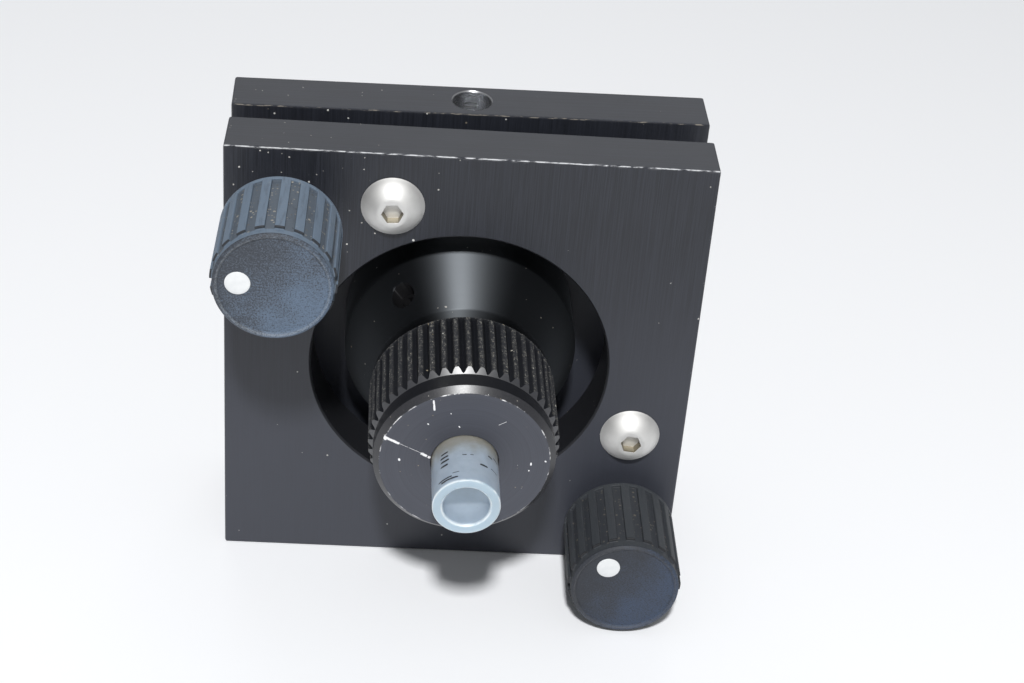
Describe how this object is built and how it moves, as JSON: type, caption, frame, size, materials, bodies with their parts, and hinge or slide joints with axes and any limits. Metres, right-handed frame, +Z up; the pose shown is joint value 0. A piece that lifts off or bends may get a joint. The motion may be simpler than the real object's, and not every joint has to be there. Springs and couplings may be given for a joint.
{
  "type": "fiber positioner",
  "caption": "Two-plate tilt mount with knob adjusters and a knurled collar that turns a sleeve on its axis, to hold and aim an optical fibre.",
  "frame": {"origin": "mouth of the post hole, in the middle of the base plate's bottom edge", "axes": "+X to the right seen from the knobs, +Y from the knobs through the base plate to the stage plate, +Z up"},
  "size_m": [0.051, 0.0464, 0.0512],
  "materials": {
    "black_anodised": "black anodised, fine brushed grain, worn edges",
    "knob_plastic": "weathered slate grey moulded plastic",
    "dot_white": "white paint-filled dot",
    "stainless": "stainless steel",
    "hard_steel": "ground hardened steel",
    "bronze": "bearing bronze",
    "milky_plastic": "translucent milky plastic"
  },
  "bodies": {
    "base": {"base_plate": "black_anodised", "base_pivot_cup": "hard_steel", "left_bushing": "bronze", "right_bushing": "bronze", "top_spring_screw": "stainless", "side_spring_screw": "stainless", "top_spring_washer": "stainless", "side_spring_washer": "stainless", "top_spring_nut": "stainless", "side_spring_nut": "stainless"},
    "pivot": {"pivot_ball": "hard_steel"},
    "stage": {"stage_plate": "black_anodised", "stage_pivot_cup": "hard_steel", "groove_pad": "hard_steel", "flat_pad": "hard_steel", "top_spring": "hard_steel", "side_spring": "hard_steel", "clamp_screw": "hard_steel", "clamp_tip": "milky_plastic", "hub": "black_anodised", "hub_lock_screw": "hard_steel", "bearing_bush": "bronze"},
    "rotor": {"spindle": "black_anodised", "collar": "black_anodised", "nose_cap": "black_anodised", "liner": "milky_plastic", "thrust_washer": "bronze", "retaining_ring": "hard_steel"},
    "sleeve": {"sleeve": "milky_plastic"},
    "left_tip": {"left_ball_tip": "hard_steel"},
    "left_adjuster": {"left_adjuster_screw": "stainless", "left_knob": "knob_plastic", "left_knob_dot": "dot_white"},
    "right_tip": {"right_ball_tip": "hard_steel"},
    "right_adjuster": {"right_adjuster_screw": "stainless", "right_knob": "knob_plastic", "right_knob_dot": "dot_white"}
  },
  "joints": [
    {"name": "stage_yaw", "type": "hinge", "parent": "base", "child": "pivot", "pos_m": [0.01905, 0.0053, 0.04445], "axis": [0, 0, 1], "range_deg": [-5.35, 0.85], "deforming": ["top_spring"]},
    {"name": "stage_pitch", "type": "hinge", "parent": "pivot", "child": "stage", "pos_m": [0.01905, 0.0053, 0.04445], "axis": [0.9997, 0.0236, 0], "range_deg": [-4.98, 1.22], "deforming": ["side_spring"]},
    {"name": "collar_turn", "type": "hinge", "parent": "stage", "child": "rotor", "pos_m": [-0.00006, 0.00777, 0.02552], "axis": [-0.0236, 0.9985, 0.0485], "continuous": true},
    {"name": "sleeve_slide", "type": "slide", "parent": "rotor", "child": "sleeve", "axis": [0.0236, -0.9985, -0.0485], "range_m": [-0.005, 0.01]},
    {"name": "left_feed", "type": "slide", "parent": "base", "child": "left_tip", "axis": [0, 1, 0], "range_m": [-0.00057, 0.00357]},
    {"name": "left_knob_turn", "type": "hinge", "parent": "left_tip", "child": "left_adjuster", "pos_m": [-0.01905, 0, 0.04445], "axis": [0, 1, 0], "range_deg": [-640, 4040]},
    {"name": "right_feed", "type": "slide", "parent": "base", "child": "right_tip", "axis": [0, 1, 0], "range_m": [-0.00332, 0.00082]},
    {"name": "right_knob_turn", "type": "hinge", "parent": "right_tip", "child": "right_adjuster", "pos_m": [0.01905, 0, 0.00635], "axis": [0, 1, 0], "range_deg": [-3760, 930]}
  ],
  "couplings": [
    {"joint": "left_feed", "follows": "stage_yaw", "m_per_rad": -0.0381},
    {"joint": "left_knob_turn", "follows": "stage_yaw", "ratio": -753.98},
    {"joint": "right_feed", "follows": "stage_pitch", "m_per_rad": 0.0381},
    {"joint": "right_knob_turn", "follows": "stage_pitch", "ratio": 753.98}
  ]
}
